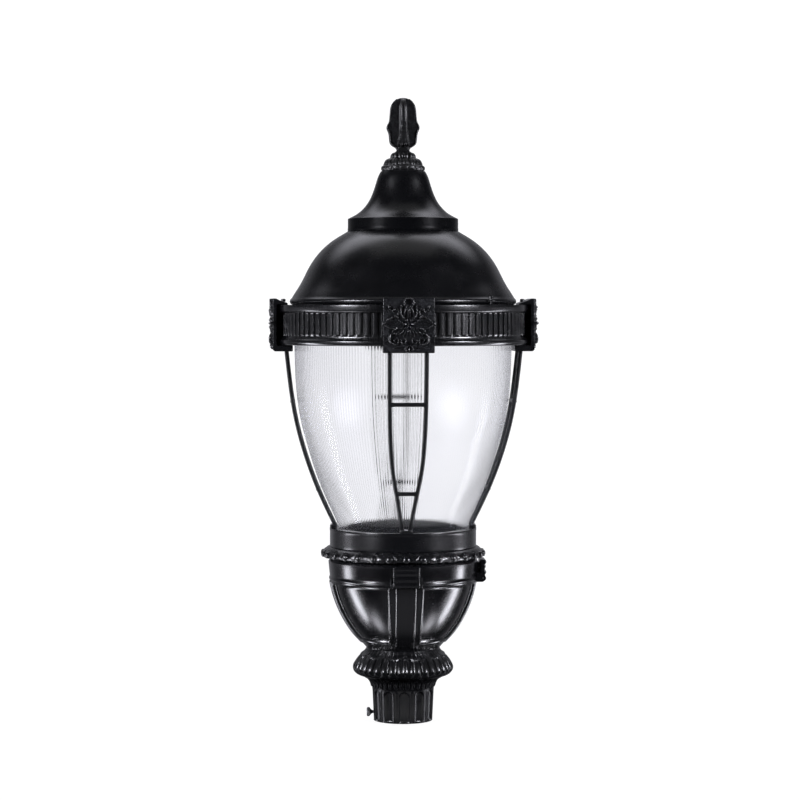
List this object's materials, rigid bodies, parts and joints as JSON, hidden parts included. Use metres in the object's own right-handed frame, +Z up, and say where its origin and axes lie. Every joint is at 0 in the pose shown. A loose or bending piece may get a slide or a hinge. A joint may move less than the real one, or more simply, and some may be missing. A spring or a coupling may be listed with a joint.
{
  "type": "post-top street lantern",
  "caption": "Classical post-top street lantern with a ribbed glass globe, domed hinged hood, finial and a cast gear housing with a post-top fitter.",
  "frame": {"origin": "centre of the fitter's bottom face, where it meets the post's shoulder", "axes": "+Z up along the lantern's axis, -Y towards the front rosette, +X to the right rosette"},
  "size_m": [0.536, 0.536, 1.244],
  "materials": {
    "black_casting": "semi-gloss black polyester powder coat on cast aluminium",
    "black_gloss_casting": "glossy black powder coat on cast aluminium",
    "black_satin_spinning": "satin black powder coat on spun aluminium",
    "black_rod": "semi-gloss black powder coat on steel rod",
    "black_plate": "matt black powder coat",
    "clear_glass": "clear glass with vertical prisms",
    "black_rubber": "matt silicone rubber",
    "stainless_steel": "plain stainless steel",
    "driver_case": "plain extruded case",
    "grey_plastic": "matt moulded plastic",
    "white_plastic": "moulded plastic",
    "bare_aluminium": "as-cast aluminium",
    "white_board": "white solder mask",
    "clear_acrylic": "frosted clear moulding",
    "white_reflector": "matt white paint"
  },
  "bodies": {
    "base": {"fitter": "black_casting", "gear_housing": "black_casting", "housing_bolts": "stainless_steel", "driver_tray": "black_plate", "driver_screws": "stainless_steel", "led_driver": "driver_case", "terminal_block": "grey_plastic", "surge_protector": "white_plastic", "hinge_leaf_lower": "black_plate", "hinge_screws": "stainless_steel", "tilt_hinge_pin": "stainless_steel", "latch_pins": "stainless_steel"},
    "lantern": {"bead_ring": "black_casting", "globe_collar": "black_casting", "hinge_leaf_upper": "black_plate", "leaf_screws": "stainless_steel", "gear_cover": "black_plate", "gear_cover_screws": "stainless_steel", "globe_seat_gasket": "black_rubber", "globe": "clear_glass", "globe_top_gasket": "black_rubber", "rib_front": "black_rod", "rib_right": "black_rod", "rib_rear": "black_rod", "rib_left": "black_rod", "rib_foot_screws": "stainless_steel", "roof_band": "black_casting", "roof_seal": "black_rubber", "rosette_front": "black_gloss_casting", "rosette_right": "black_gloss_casting", "rosette_rear": "black_gloss_casting", "rosette_left": "black_gloss_casting", "rosette_screws": "stainless_steel", "feed_conduit": "black_rod", "hood_hinge_leaf": "black_plate", "hood_hinge_screws": "stainless_steel", "hood_hinge_pin": "stainless_steel"},
    "hood": {"dome": "black_satin_spinning", "cupola": "black_satin_spinning", "finial_base": "black_casting", "finial": "black_casting", "finial_rod": "stainless_steel", "finial_nut": "stainless_steel", "heat_sink": "bare_aluminium", "heat_sink_screws": "stainless_steel", "led_board": "white_board", "led_lens": "clear_acrylic", "reflector": "white_reflector", "hood_hinge_strap": "black_plate"},
    "hood_screw_body": {"hood_screw": "stainless_steel"},
    "latch_front_body": {"latch_front": "black_gloss_casting"},
    "latch_right_body": {"latch_right": "black_gloss_casting"},
    "lock_screw_left_body": {"lock_screw_left": "stainless_steel"},
    "lock_screw_rear_body": {"lock_screw_rear": "stainless_steel"}
  },
  "joints": [
    {"name": "lantern_tilt", "type": "hinge", "parent": "base", "child": "lantern", "pos_m": [-0.152, 0, 0.336], "axis": [0, -1, 0], "range_deg": [0, 70]},
    {"name": "hood_hinge", "type": "hinge", "parent": "lantern", "child": "hood", "pos_m": [-0.16688, 0.16688, 0.838], "axis": [-0.7071, -0.7071, 0], "range_deg": [0, 95]},
    {"name": "hood_screw_turn", "type": "hinge", "parent": "hood", "child": "hood_screw_body", "pos_m": [0.1637, -0.1637, 0.84], "axis": [0, 0, 1], "range_deg": [0, 90]},
    {"name": "latch_front_swing", "type": "hinge", "parent": "base", "child": "latch_front_body", "pos_m": [0, -0.159, 0.287], "axis": [1, 0, 0], "range_deg": [0, 70]},
    {"name": "latch_right_swing", "type": "hinge", "parent": "base", "child": "latch_right_body", "pos_m": [0.159, 0, 0.287], "axis": [0, 1, 0], "range_deg": [0, 70]},
    {"name": "lock_screw_left_travel", "type": "slide", "parent": "base", "child": "lock_screw_left_body", "axis": [-1, 0, 0], "range_m": [0, 0.008]},
    {"name": "lock_screw_rear_travel", "type": "slide", "parent": "base", "child": "lock_screw_rear_body", "axis": [0, 1, 0], "range_m": [0, 0.008]}
  ]
}
